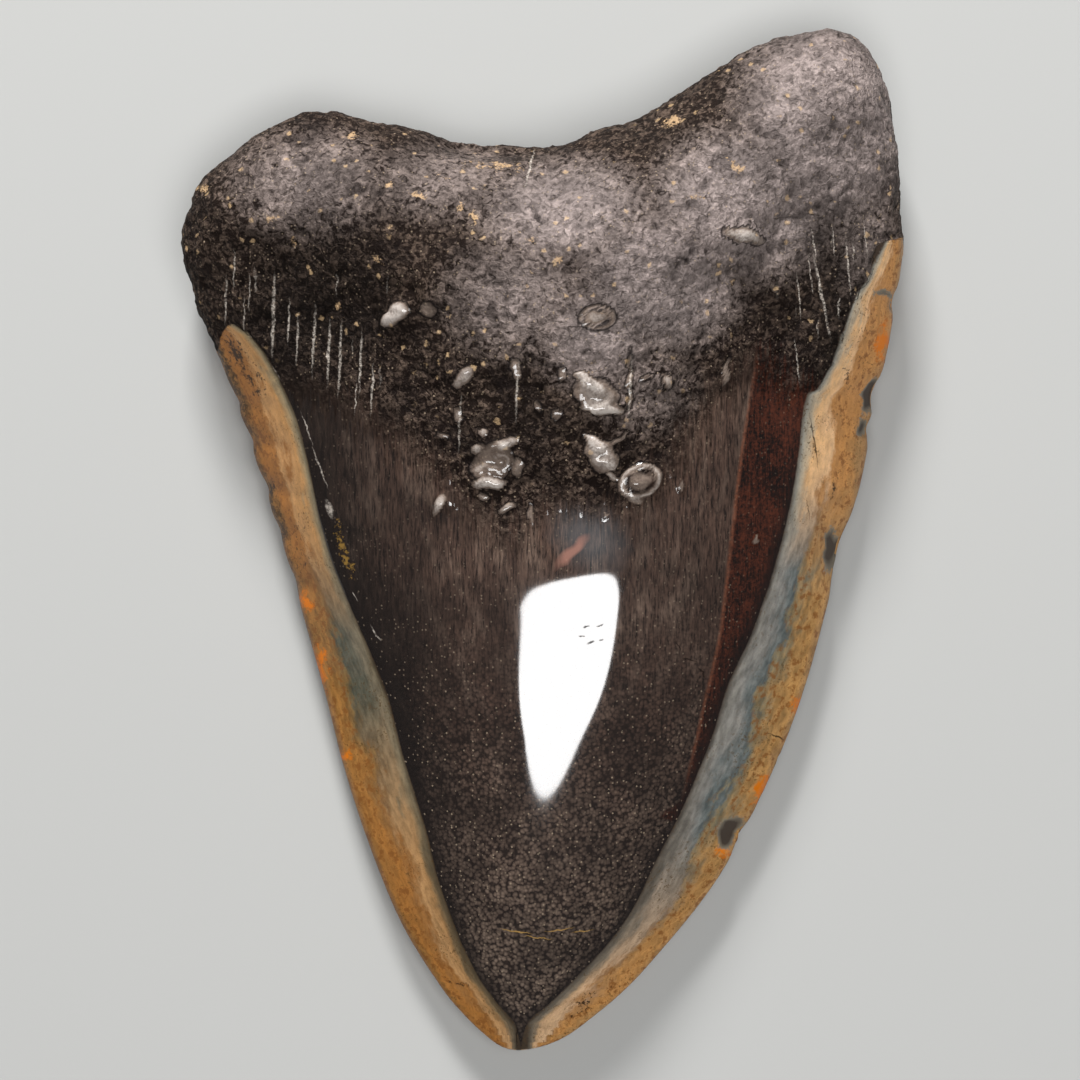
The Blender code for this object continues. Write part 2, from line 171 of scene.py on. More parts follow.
# Hollows: the same, for how deep each one is
PITS = [
    (18.2, 35.5, 1.6, 0.7, -8, 0.5), (-0.5, 41.0, 0.7, 0.7, 0, 0.9), (-5.3, 10.1, 0.7, 0.6, 0, 0.6),
    (0.0, 45.4, 4.4, 0.4, 78, 0.35), (9.6, 17.9, 0.9, 0.4, -30, 0.5), (6.5, 18.1, 2.4, 0.3, -10, 0.4),
    (7.3, 9.6, 1.5, 0.3, -12, 0.4), (-2.2, 19.0, 0.4, 5.0, 0, 0.3), (13.6, 32.3, 1.4, 0.6, 0, 0.4),
    (5.2, -11.9, 0.5, 0.3, 20, 0.12),
]
# Chips out of the cutting edge and flakes off the enamel: the same
CHIPS = [
    (43.4, 19.1, 2.4, 1.2, 70, 0.6), (42.2, 14.9, 1.4, 0.8, 75, 0.4), (37.8, -1.2, 3.2, 1.0, 88, 0.35),
    (39.0, -0.8, 1.8, 0.8, 75, 0.5), (46.2, 31.4, 1.4, 0.9, 90, 0.6), (24.9, -38.0, 2.4, 2.0, 50, 0.25),
    (-41.6, 14.0, 1.4, 0.6, 105, 0.4), (-40.6, 10.5, 1.2, 0.6, 105, 0.4),
    (-39.4, 6.4, 1.4, 0.6, 105, 0.4), (-38.0, 1.8, 1.0, 0.5, 105, 0.3), (-36.6, -1.6, 1.0, 0.5, 105, 0.3),
    (-42.3, 19.0, 1.6, 0.6, 100, 0.35), (-35.0, -6.0, 0.9, 0.5, 105, 0.3),
    (30.4, -28.4, 1.0, 0.5, 65, 0.3), (20.4, -45.9, 0.9, 0.5, 55, 0.3),
]

# Thin lines: a turn in degrees and how many times longer than wide, then x, y and half width of each
PALE_LINES = [
    (87, 22, [
        (-39.8, 35.0, 0.12), (-41.0, 31.2, 0.15), (-37.8, 32.0, 0.11), (-38.6, 28.9, 0.12),
        (-34.7, 29.0, 0.25), (-32.7, 28.2, 0.14), (-31.6, 26.0, 0.16), (-29.4, 25.7, 0.21),
        (-27.5, 24.1, 0.20), (-26.0, 23.3, 0.22), (-23.3, 22.8, 0.19), (-21.8, 19.5, 0.15),
        (-24.0, 18.3, 0.10), (-10.5, 15.0, 0.17), (-3.2, 19.0, 0.18), (11.2, 19.6, 0.18),
    ]),
    (102, 24, [(36.1, 31.5, 0.24), (35.0, 38.3, 0.1)]),
    (96, 26, [
        (39.5, 35.7, 0.15), (33.1, 31.5, 0.12), (32.9, 23.2, 0.11), (34.6, 34.5, 0.1), (37.6, 38.8, 0.08),
        (41.9, 39.0, 0.09),
    ]),
    (78, 20, [(-1.6, 48.0, 0.16)]),
    (-55, 14, [(-35.5, 23.2, 0.2), (-37.2, 25.6, 0.13)]),
    (-70, 24, [(-30.4, 14.4, 0.1), (-28.7, 9.4, 0.12)]),
    (-70, 3, [(-27.6, 4.2, 0.45)]),
    (-58, 10, [(-21.6, -12.0, 0.13), (-24.2, -7.2, 0.08)]),
]
GOLD_LINES = [
    (-8, 22, [(-3.4, -50.8, 0.1), (-0.6, -51.6, 0.09)]),
    (6, 22, [(2.2, -50.6, 0.09), (5.4, -50.8, 0.07)]),
]
DARK_LINES = [
    (-80, 40, [(35.3, 12.9, 0.1), (34.6, 4.0, 0.05)]),
    (88, 30, [(-2.2, 19.0, 0.22), (-3.3, -65.0, 0.07)]),
    (-20, 10, [(30.8, -25.7, 0.14), (19.0, -15.4, 0.12)]),
    (-60, 9, [(20.6, -17.0, 0.12), (17.6, -13.6, 0.1)]),
    (12, 3, [
        (5.6, -11.0, 0.16), (7.3, -10.9, 0.14), (6.2, -13.0, 0.2), (7.5, -12.7, 0.12), (5.0, -12.3, 0.1),
    ]),
]
# Marks in the surface: x, y, half length, half width, turn in degrees
RUST = [
    (44.4, 26.0, 2.3, 0.9, 80), (-31.0, -7.9, 1.5, 0.8, 105), (-28.8, -15.1, 1.2, 0.7, 105),
    (-29.4, -17.1, 2.6, 0.9, 105), (-25.9, -28.3, 1.1, 0.9, 60), (28.7, -32.5, 2.0, 0.9, 60),
    (33.6, -21.4, 1.4, 0.8, 70), (23.7, -40.8, 1.0, 0.7, 0),
]
FLINT = [
    (43.2, 19.1, 2.5, 1.4, 70), (42.0, 14.9, 1.3, 0.8, 75), (37.9, -1.2, 3.3, 1.1, 88),
    (38.9, -0.9, 1.9, 1.0, 75), (44.6, 32.2, 2.2, 0.5, -5), (46.3, 30.9, 1.5, 0.9, 80),
    (25.0, -37.4, 1.8, 1.2, 10), (24.2, -38.9, 2.0, 1.3, 75),
]
DARK = [
    (-39.8, 24.4, 2.8, 1.4, 100), (-37.4, 20.8, 2.2, 0.9, 115), (-35.4, 6.6, 0.8, 0.6, 100),
    (-34.1, 0.3, 0.8, 0.6, 100), (-32.1, -3.3, 0.8, 0.6, 80), (-11.4, -58.5, 0.9, 0.6, 120),
    (5.7, -60.8, 1.8, 0.7, 35), (-41.6, 12.6, 2.4, 0.7, 105), (-38.2, 5.4, 2.4, 1.0, 105),
    (-36.2, -0.8, 2.6, 0.8, 105), (39.6, 21.7, 0.5, 1.2, 0), (37.9, 6.6, 0.5, 1.0, 0),
]
GOLD = [
    (-26.2, 0.2, 1.8, 0.55, 100), (-25.2, -2.8, 1.9, 0.6, 115), (16.6, 53.9, 1.3, 0.9, 20),
    (24.6, 47.8, 1.5, 0.6, -35), (19.5, 43.8, 0.9, 0.4, 0), (-34.3, 41.6, 0.9, 0.5, 0),
    (-24.6, 52.2, 1.0, 0.5, 10), (-19.7, 45.5, 0.7, 0.4, 0), (-15.8, 43.9, 1.0, 0.5, -10),
    (-12.6, 46.3, 0.5, 0.4, 0), (-10.4, 42.6, 0.6, 0.5, 0), (-8.6, 41.2, 0.5, 0.8, 0),
    (-6.0, 48.2, 3.4, 0.45, -4), (-31.9, 38.7, 0.4, 0.6, 0), (-20.9, 35.7, 0.7, 0.4, -50),
    (-26.3, 30.2, 0.4, 0.5, 0), (-1.6, 38.0, 0.7, 0.5, 0), (-2.3, 32.6, 0.5, 0.5, 0),
    (2.1, 35.6, 0.6, 0.6, 0), (-44.2, 45.8, 0.7, 0.6, 0),
]
SALMON = [(3.8, -1.4, 2.7, 0.6, 45)]
# A painted reflection: the grey haze of the reflector near the top of the glint on the crown
PAINTED_HAZE = [(6.0, 0.5, 6.5, 5.0, -40)]
MARKS = {"rust": RUST, "flint": FLINT, "dark": DARK, "gold": GOLD, "salmon": SALMON, "haze": PAINTED_HAZE}


def linear(hex_code):
    """An sRGB hex colour as the linear values that shaders take."""
    channels = [int(hex_code[i : i + 2], 16) / 255 for i in (1, 3, 5)]
    return tuple(c / 12.92 if c <= 0.04045 else ((c + 0.055) / 1.055) ** 2.4 for c in channels)


def colour(label, hex_code, description):
    """A colour that a user can change."""
    default = linear(hex_code)
    return bpy.props.FloatVectorProperty(
        name=label, description=description, subtype="COLOR", size=3, min=0.0, max=1.0, default=default
    )


def length(label, millimetres, description):
    """A length that a user can change."""
    return bpy.props.FloatProperty(
        name=label, description=description, subtype="DISTANCE", unit="LENGTH", default=millimetres * MM
    )


class ToothLooks(bpy.types.PropertyGroup):
    """What a user would change on the tooth."""

    wrinkles: length("Wrinkles", 0.5, "Height of the root's wrinkles")
    grain: length("Grain", 0.3, "Height of the root's coarse grain")
    fine_grain: length("Fine grain", 0.32, "Height of the root's finest grain")
    relief: length("Relief", 0.7, "Scale of the root's lumps, rims and hollows")
    dentine: colour("Dentine", "#564238", "Polished dentine of the crown")
    dentine_dark: colour("Dark dentine", "#160D09", "The darker grain of the dentine")
    dentine_tip: colour("Tip dentine", "#857466", "Dentine near the tip")
    red_dentine: colour("Red dentine", "#4A2213", "Dentine beside the right band")
    cream: colour("Cream enamel", "#D9AC7A", "Enamel at the top of the bands")
    tan: colour("Tan enamel", "#B7824B", "Stained enamel, towards the cutting edge")
    grey_enamel: colour("Grey enamel", "#8C8983", "Blue-grey enamel next to the dentine")
    seam: colour("Seam", "#40342B", "Where the enamel meets the dentine")
    root: colour("Root", "#1A110C", "Rough root")
    # Also painted shade: in the root's hollows and at the feet of its lumps, as well as its dark blotches
    root_blotch_and_shade: colour("Root hollows", "#0F0908", "The bottoms of the root's pits")
    # A painted sheen, where the root's upper slopes face the light
    painted_sheen_colour: colour("Worn root", "#A99A95", "Root that is worn to a sheen")
    # The pale tops of the lumps: partly bared stone and partly a painted highlight
    bared: colour("Bared lumps", "#B3A9A1", "Lumps on the root that the polish has bared")
    mineral: colour("Mineral", "#B7ADA2", "Pale mineral grains and streaks")


class StageLooks(bpy.types.PropertyGroup):
    """What a user would change on the stage."""

    floor: colour("Floor", "#A3A3A1", "Plain pale floor")
    camera_height: length("Camera height", 596.5, "Height of the camera above the floor")
    key: bpy.props.FloatProperty(name="Key light", description="Power, in watts", default=18.0, min=0.0)
    wide: bpy.props.FloatProperty(name="Wide light", description="Power, in watts", default=11.8, min=0.0)
    reflector: bpy.props.FloatProperty(name="Reflector", description="Power, in watts", default=7.6, min=0.0)


# ---------------------------------------------------------------- shape


def smooth_closed(outline, steps=8):
    """A smooth closed curve through an outline's points."""
    points = np.array(outline, float)
    before, after, later = np.roll(points, 1, 0), np.roll(points, -1, 0), np.roll(points, -2, 0)
    t = np.linspace(0.0, 1.0, steps, endpoint=False)[None, :, None]
    a, b, c, d = (p[:, None] for p in (before, points, after, later))
    curve = b + 0.5 * ((c - a) * t + (2 * a - 5 * b + 4 * c - d) * t**2 + (3 * b - a - 3 * c + d) * t**3)
    return curve.reshape(-1, 2)


def depth_inside(places, outline):
    """How far each place lies inside a closed outline, in millimetres. It is below 0 outside."""
    curve = smooth_closed(outline)
    x, y = places[:, 0], places[:, 1]
    nearest, inside = np.full(len(x), np.inf), np.zeros(len(x), bool)
    for (x0, y0), (x1, y1) in zip(curve, np.roll(curve, -1, 0)):
        run_x, run_y = x1 - x0, y1 - y0
        share = np.clip(((x - x0) * run_x + (y - y0) * run_y) / (run_x**2 + run_y**2), 0.0, 1.0)
        nearest = np.minimum(nearest, np.hypot(x - x0 - share * run_x, y - y0 - share * run_y))
        crosses = (y0 > y) != (y1 > y)
        if run_y:
            inside ^= crosses & (x < x0 + (y - y0) * run_x / run_y)
    return np.where(inside, nearest, -nearest)


def hills(places, spots):
    """A spot's strength at its middle, falling smoothly to 0 at its radius, for the strongest spot there."""
    share = np.zeros(len(places))
    for x, y, radius_x, radius_y, strength in spots:
        far = np.hypot((places[:, 0] - x) / radius_x, (places[:, 1] - y) / radius_y)
        share = np.maximum(share, np.clip((1.0 - far**2) * strength, 0.0, 1.0))
    return share


def reach(places, x, y, half_length, half_width, turn):
    """How far each place is from the middle of an oval, as a share of the way to its rim."""
    cos, sin = math.cos(math.radians(turn)), math.sin(math.radians(turn))
    run_x, run_y = places[:, 0] - x, places[:, 1] - y
    return np.hypot((run_x * cos + run_y * sin) / half_length, (run_y * cos - run_x * sin) / half_width)


def smoothstep(low, high, values):
    """0 at low and 1 at high, with an easy start and end."""
    share = np.clip((values - low) / (high - low), 0.0, 1.0)
    return share * share * (3.0 - 2.0 * share)


def uneven(places):
    """The places, shifted by up to a sixth of a millimetre, so that ovals round them come out uneven."""
    x, y = places[:, 0], places[:, 1]
    shifted = places.copy()
    shifted[:, 0] += UNEVEN * np.sin(2.3 * y + 1.1 * np.sin(1.7 * x))
    shifted[:, 1] += UNEVEN * np.sin(2.1 * x + 1.3 * np.sin(1.9 * y))
    return shifted


def domes(places, spots):
    """Rounded lumps with steep sides, as a share of the relief's height."""
    height = np.zeros(len(places))
    for *oval, rise in spots:
        height = np.maximum(height, rise * np.clip(1.0 - reach(places, *oval) ** 2.5, 0.0, 1.0) ** 0.7)
    return height


def rims(places, spots, whole=False):
    """A narrow rim round each oval, or round its lower side only, as a share of the relief's height."""
    height = np.zeros(len(places))
    for *oval, rise in spots:
        ring = np.exp(-(((reach(places, *oval) - RIM_MIDDLE) / RIM_WIDTH) ** 2))
        _, y, _, half_width, _ = oval
        kept = 1.0 if whole else smoothstep(0.5, -0.6, (places[:, 1] - y) / half_width)
        height = np.maximum(height, rise * ring * kept)
    return height


def off_marks(places, ovals):
    """How far each place lies outside the nearest of these ovals, in millimetres, near their rims."""
    _, _, _, half_widths, _ = zip(*ovals)
    return np.min([(reach(places, *oval) - 1.0) * half for oval, half in zip(ovals, half_widths)], axis=0)


def crown_and_root(places, normals):
    """Finds the parts of the tooth.

    Gives 1 on its upper side and 0 on its underside, how far each place lies inside the enamel and inside the
    root, in millimetres, and which places belong to the right band.
    """
    upper = np.clip((normals[:, 2] + EDGE_TURN) / (2 * EDGE_TURN), 0.0, 1.0)
    on_top = upper > 0.5
    under_line = np.interp(places[:, 0], *zip(*UNDERSIDE_LINE)) - places[:, 1]
    left, right = depth_inside(places, LEFT_ENAMEL), depth_inside(places, RIGHT_ENAMEL)
    enamel = np.where(on_top, np.maximum(left, right), under_line)
    root = np.where(on_top, depth_inside(places, ROUGH_ROOT), -under_line)
    root = np.where(on_top & (enamel > 0), np.minimum(root, -enamel), root)
    return upper, enamel, root, right > left


def share_of_band(places, is_right):
    """How far each place is from the inner edge of its band, as a share of the way to the tooth's outline."""
    x, y = places[:, 0], places[:, 1]
    # The left band's last two points turn back down, and are left out
    left_edge = np.interp(y, *zip(*[(up, side) for side, up in LEFT_BAND[:-2]]))
    right_edge = np.interp(y, *zip(*[(up, side) for side, up in RIGHT_BAND]))
    inner = np.where(is_right, right_edge, left_edge)
    # The outline is as far as the tooth reaches to each side, in every millimetre of its height
    lowest = math.floor(CAD_LOW.y / MM)
    rows = math.ceil(CAD_HIGH.y / MM) - lowest + 1
    row = np.clip((y - lowest).astype(int), 0, rows - 1)
    far_left, far_right = np.zeros(rows), np.zeros(rows)
    np.minimum.at(far_left, row, x)
    np.maximum.at(far_right, row, x)
    width = np.where(is_right, far_right[row], far_left[row]) - inner
    width = np.where(np.abs(width) < NARROWEST_BAND, NARROWEST_BAND, width)
    return np.clip((x - inner) / width, 0.0, PAST_OUTLINE)


def set_attribute(mesh, name, values):
    """Gives every vertex a number that the material reads by name."""
    attribute = mesh.attributes.new(name, "FLOAT", "POINT")
    attribute.data.foreach_set("value", np.asarray(values, np.float32))


def places_of(mesh):
    """Every vertex in millimetres, and its normal."""
    places, normals = np.empty(len(mesh.vertices) * 3), np.empty(len(mesh.vertices) * 3)
    mesh.vertices.foreach_get("co", places)
    mesh.vertex_normals.foreach_get("vector", normals)
    return places.reshape(-1, 3) / MM, normals.reshape(-1, 3)


def fine_copy(node, name):
    """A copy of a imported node, merged, in four-sided faces, and refined twice."""
    copy = bpy.data.objects.new(name, node.data.copy())
    bpy.context.collection.objects.link(copy)
    bpy.ops.object.select_all(action="DESELECT")
    copy.select_set(True)
    bpy.context.view_layer.objects.active = copy
    bpy.ops.object.mode_set(mode="EDIT")
    bpy.ops.mesh.select_all(action="SELECT")
    bpy.ops.mesh.remove_doubles(threshold=0.00001)
    bpy.ops.mesh.customdata_custom_splitnormals_clear()
    bpy.ops.mesh.tris_convert_to_quads(face_threshold=math.radians(50), shape_threshold=math.radians(60))
    bpy.ops.object.mode_set(mode="OBJECT")
    bpy.ops.object.shade_smooth()
    refine = copy.modifiers.new("refine", "SUBSURF")
    refine.levels = refine.render_levels = 2
    bpy.ops.object.modifier_apply(modifier=refine.name)
    return copy


def emboss(piece, name, weights, height, texture=None, middle=0.0):
    """Moves a piece's vertices along their normals, by their weights times a height or a texture.

    Where the texture has its middle value, nothing moves.
    """
    group = piece.vertex_groups.new(name=name)
    levels = np.rint(np.clip(weights, 0.0, 1.0) * WEIGHT_STEPS).astype(int)
    for level in np.unique(levels[levels > 0]):
        group.add(np.flatnonzero(levels == level).tolist(), level / WEIGHT_STEPS, "REPLACE")
    push = piece.modifiers.new(name, "DISPLACE")
    push.vertex_group = group.name
    push.strength = height
    push.mid_level = middle
    push.texture = texture
    push.texture_coords = "LOCAL"
    bpy.context.view_layer.objects.active = piece
    bpy.ops.object.modifier_apply(modifier=push.name)
    piece.vertex_groups.remove(piece.vertex_groups[name])


def texture(name, kind, size, **settings):
    """A pattern for emboss, with its size in millimetres."""
    made = bpy.data.textures.new(name, kind)
    made.noise_scale = size * MM
    for key, value in settings.items():
        setattr(made, key, value)
    return made


def carve(tooth, looks, upper, root, raised, sunk):
    """Gives the tooth its relief, and returns how high that is at each vertex, in millimetres."""
    places, normals = places_of(tooth.data)
    # The grain fades in from 2 mm outside the root's line to 3 mm inside it
    rough = np.clip((root + 2.0) / 5.0, 0.0, 1.0)
    # The refining draws the blunt cutting edge in: this puts it back
    edge = np.clip(1.0 - np.abs(normals[:, 2]) * 1.4, 0.0, 1.0)
    emboss(tooth, "rim", edge, DRAWN_IN * MM)
    creases = texture("wrinkles", "CLOUDS", GRAIN_SPACING, noise_type="HARD_NOISE", noise_depth=1)
    emboss(tooth, "wrinkles", rough, -looks.wrinkles, creases, 0.25)
    pebbles = texture("pebbles", "VORONOI", GRAIN_SPACING, distance_metric="DISTANCE")
    emboss(tooth, "pebbles", rough, looks.grain, pebbles, 0.4)
    emboss(tooth, "swells", rough, SWELL_HEIGHT * MM, texture("swells", "CLOUDS", SWELL_SPACING), 0.5)
    emboss(tooth, "raised", raised * upper, looks.relief)
    emboss(tooth, "sunk", sunk * upper, -looks.relief)
    # Nothing reaches below the face that the tooth lies on
    carved, _ = places_of(tooth.data)
    carved[:, 2] = np.maximum(carved[:, 2], CAD_LOW.z / MM)
    tooth.data.vertices.foreach_set("co", (carved * MM).ravel())
    tooth.data.update()
    return ((carved - places) * normals).sum(1)


class FOSSIL_OT_tooth(bpy.types.Operator):
    """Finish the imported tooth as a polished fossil"""

    bl_idname = "fossil.tooth"
    bl_label = "Tooth"

    def execute(self, context):
        looks = context.scene.tooth_looks
        tooth = fine_copy(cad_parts["tooth"], "polished_tooth")
        places, normals = places_of(tooth.data)
        around = uneven(places)
        upper, enamel, root, is_right = crown_and_root(places, normals)
        on_top = upper > 0.5
        share = share_of_band(places, is_right)
        raised = np.maximum(domes(around, LUMPS), rims(places, RINGS, whole=True))
        folded = np.maximum(raised, rims(around, FOLDS))
        sunk = np.maximum(domes(around, PITS), domes(around, CHIPS))
        height = carve(tooth, looks, upper, root, folded, sunk)
        layers = {
            "enamel": enamel,
            "root": root,
            "share": np.where(on_top, share, UNDERSIDE_SHARE),
            "across": np.where(on_top, share * USUAL_BAND, places[:, 0]),
            "upper": upper,
            "red": depth_inside(places, RED_DENTINE),
            "streaked": hills(places, STREAKED_AND_SHADED) * upper,
            "sheen": hills(places, PAINTED_SHEEN) * upper,
            "raised": raised * upper,
            "height": height,
        }
        for name, ovals in MARKS.items():
            layers[name] = np.where(on_top, off_marks(around, ovals), FAR_OFF)
        for name, values in layers.items():
            set_attribute(tooth.data, name, values)
        tooth.data.materials.clear()
        tooth.data.materials.append(polished_fossil(looks, layers))
        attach(tooth, "root")
        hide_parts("tooth")
        return {"FINISHED"}


# ---------------------------------------------------------------- materials

# A node's inputs are given in Blender's order: a MapRange takes a value, the two ends that it is mapped from
# and the two that it is mapped to, and a Mix takes a share and the two that it mixes.
# This is what a Mix or a Math node is most often set to
BLEND = {"data_type": "RGBA"}
TINT = {"data_type": "RGBA", "blend_type": "MULTIPLY"}
TIMES = {"operation": "MULTIPLY"}
PLUS = {"operation": "ADD"}
TIMES_PLUS = {"operation": "MULTIPLY_ADD"}


def add(tree, kind, *given, out=0, stops=(), **settings):
    """Adds a node and gives one of its outputs. Its inputs come in order or by name, as sockets or values."""
    node = tree.nodes.new("ShaderNode" + kind)
    for name in [name for name in settings if name.islower()]:
        setattr(node, name, settings.pop(name))
    ready = [socket for socket in node.inputs if not socket.is_unavailable]
    named = ((node.inputs[name], value) for name, value in settings.items())
    for socket, value in [*zip(ready, given), *named]:
        if isinstance(value, bpy.types.NodeSocket):
            tree.links.new(value, socket)
        else:
            socket.default_value = (*value, 1.0) if socket.type == "RGBA" else value
    for number, (position, shade) in enumerate(stops):
        if number > 1:
            node.color_ramp.elements.new(1.0)
        node.color_ramp.elements[number].position = position
        node.color_ramp.elements[number].color = (*shade, 1.0)
    if isinstance(out, str):
        return node.outputs[out]
    return [socket for socket in node.outputs if not socket.is_unavailable][out]


def strokes(node, flat, groups):
    """1 on any of these thin lines, and 0 off them."""
    nearest = None
    for turn, aspect, lines in groups:
        angle = math.radians(turn)
        cos, sin = math.cos(angle), math.sin(angle)
        turned = {"Rotation": (0.0, 0.0, angle), "Scale": (aspect, 1.0, 1.0), "vector_type": "TEXTURE"}
        local = node("Mapping", flat, **turned)
        for x, y, half_width in lines:
            middle = ((x * cos + y * sin) / aspect, y * cos - x * sin, 0.0)
            away = node("VectorMath", local, middle, operation="DISTANCE")
            share = node("Math", away, half_width, operation="DIVIDE")
            nearest = node("Math", nearest, share, operation="MINIMUM") if nearest else share
    return node("MapRange", nearest, 1.1, 0.5)


def specks(node, mm, spacing, size, amount):
    """1 on round grains of a size, at a spacing, on a share of their places."""
    grain = node("TexVoronoi", mm, Scale=1 / spacing)
    close = node("MapRange", grain, size / spacing, size / spacing * 0.55)
    chance = node("SeparateColor", grain.node.outputs["Color"])
    kept = node("Math", chance, amount, operation="LESS_THAN")
    return node("Math", close, kept, **TIMES)


def on_mark(node, on, mark, most, low=0.5, soft=0.16, firm=0.5):
    """Rises to most on a mark's grains. A firmer mark is more solid, and a softer one has vaguer grains."""
    inside = node("Math", mark, -firm, on.mottle, **TIMES_PLUS)
    return node("MapRange", inside, low, low + soft, 0.0, most)


def surface(node, layers):
    """The layers on the mesh, its places in millimetres, and the patterns that all of its parts share.

    A pattern's scale, or the factor on its places, says how often it repeats in a millimetre.
    """
    on = types.SimpleNamespace()
    on.mm = node("VectorMath", node("TexCoord", out="Object"), Scale=1 / MM, operation="SCALE")
    on.x = node("SeparateXYZ", on.mm, out="X")
    on.y = node("SeparateXYZ", on.mm, out="Y")
    for name in layers:
        setattr(on, name, node("Attribute", attribute_name=name, out="Fac"))

    # Edges and marks are ragged by about a quarter of a millimetre, every millimetre or so
    wobble = node("TexNoise", on.mm, Scale=0.9, Detail=3.0, Roughness=0.65, out="Color")
    shift = node("VectorMath", wobble, (0.5, 0.5, 0.5), operation="SUBTRACT")
    on.ragged = node("VectorMath", shift, (1.3, 1.3, 1.3), on.mm, **TIMES_PLUS)
    on.steady = node("VectorMath", shift, (0.7, 0.7, 0.7), on.mm, **TIMES_PLUS)
    on.flat = node("VectorMath", on.steady, (1.0, 1.0, 0.0), **TIMES)
    on.jitter = node("SeparateXYZ", shift, out="X")

    # Grains 0.4 mm wide, blotches 6 mm wide, fibres 0.3 mm wide that run from the tip to the root, and cells
    # 0.5 mm wide. The real fibres and cells are a few times finer, and these are coarse enough to show
    on.fine = node("TexNoise", on.mm, Scale=2.4, Detail=4.0, Roughness=0.7)
    on.coarse = node("TexNoise", on.mm, Scale=0.16, Detail=3.0, Roughness=0.6)
    along = node("VectorMath", on.mm, (3.6, 0.42, 1.0), **TIMES)
    on.fibre = node("TexNoise", along, Scale=1.0, Detail=4.0, Roughness=0.72)
    cells = node("TexVoronoi", on.steady, Scale=1 / 0.5)
    cell_tone = node("SeparateColor", cells.node.outputs["Color"])
    rounded = node("MapRange", cells, 0.7, 0.1)
    on.cell = node("Math", rounded, node("MapRange", cell_tone, 0.0, 1.0, 0.5, 1.0), **TIMES)
    on.mottle = node("Math", on.jitter, 0.9, on.fine, **TIMES_PLUS)
    return on


def dentine_colour(node, on, looks):
    """Bared dentine: fibrous near the root and cellular near the tip, darkest beside the enamel."""
    cellular = node("MapRange", on.y, -2.0, -24.0, 0.0, 0.85)
    figure = node("Mix", cellular, node("MapRange", on.fibre, 0.36, 0.66), on.cell)
    body = node("Mix", figure, looks.dentine_dark, looks.dentine, **BLEND)

    # Paler bands of fibres, 3 mm wide and 20 mm long
    drawn_out = node("VectorMath", on.mm, (0.34, 0.05, 1.0), **TIMES)
    bands = node("MapRange", node("TexNoise", drawn_out, Scale=1.0, Detail=4.0), 0.48, 0.7, 0.0, 0.5)
    body = node("Mix", node("Math", bands, figure, **TIMES), body, linear("#7E6C5F"), **BLEND)

    # Pale cells near the tip, dark blotches, and a deep shadow beside the left band
    tip = node("Math", node("MapRange", on.y, -24.0, -60.0), on.cell, **TIMES)
    body = node("Mix", tip, body, looks.dentine_tip, **BLEND)
    body = node("Mix", node("MapRange", on.coarse, 0.38, 0.6, 0.5, 0.0), body, looks.dentine_dark, **BLEND)
    beside = node("MapRange", on.enamel, -15.0, -2.0)
    shadow = node("Math", beside, node("MapRange", on.x, -6.0, -17.0), **TIMES)
    body = node("Mix", node("Math", shadow, 0.82, **TIMES), body, linear("#0F0805"), **BLEND)

    # Red dentine beside the right band, with a thin broken line along its inner edge
    in_red = node("MapRange", node("Math", on.red, on.jitter, **PLUS), -0.2, 0.3)
    grained = node("Math", on.fine, on.fibre, **PLUS)
    grained = node("Math", grained, node("Math", on.coarse, 0.5, **TIMES), **PLUS)
    reds = node("Mix", node("MapRange", grained, 1.1, 1.5), linear("#0B0200"), looks.red_dentine, **BLEND)
    body = node("Mix", in_red, body, reds, **BLEND)
    line = node("MapRange", node("Math", on.red, operation="ABSOLUTE"), 0.34, 0.0, 0.0, 0.6)
    line = node("Math", line, node("MapRange", on.y, 26.0, 14.0), **TIMES)
    line = node("Math", line, node("MapRange", on.y, -34.0, -29.0), **TIMES)
    line = node("Math", line, node("MapRange", on.fine, 0.34, 0.6, 0.25, 1.0), **TIMES)
    body = node("Mix", line, body, linear("#7E4A33"), **BLEND)

    # A dark seam along the enamel, and a painted reflection: a grey haze of the reflector by the top of the
    # glint
    seam = node("MapRange", on.enamel, -1.8, -0.2)
    seam = node("Math", seam, node("MapRange", on.y, 18.0, 4.0, 0.0, 0.85), **TIMES)
    body = node("Mix", seam, body, linear("#120906"), **BLEND)
    return node("Mix", node("MapRange", on.haze, 0.0, -3.5, 0.0, 0.35), body, linear("#5A5F63"), **BLEND)


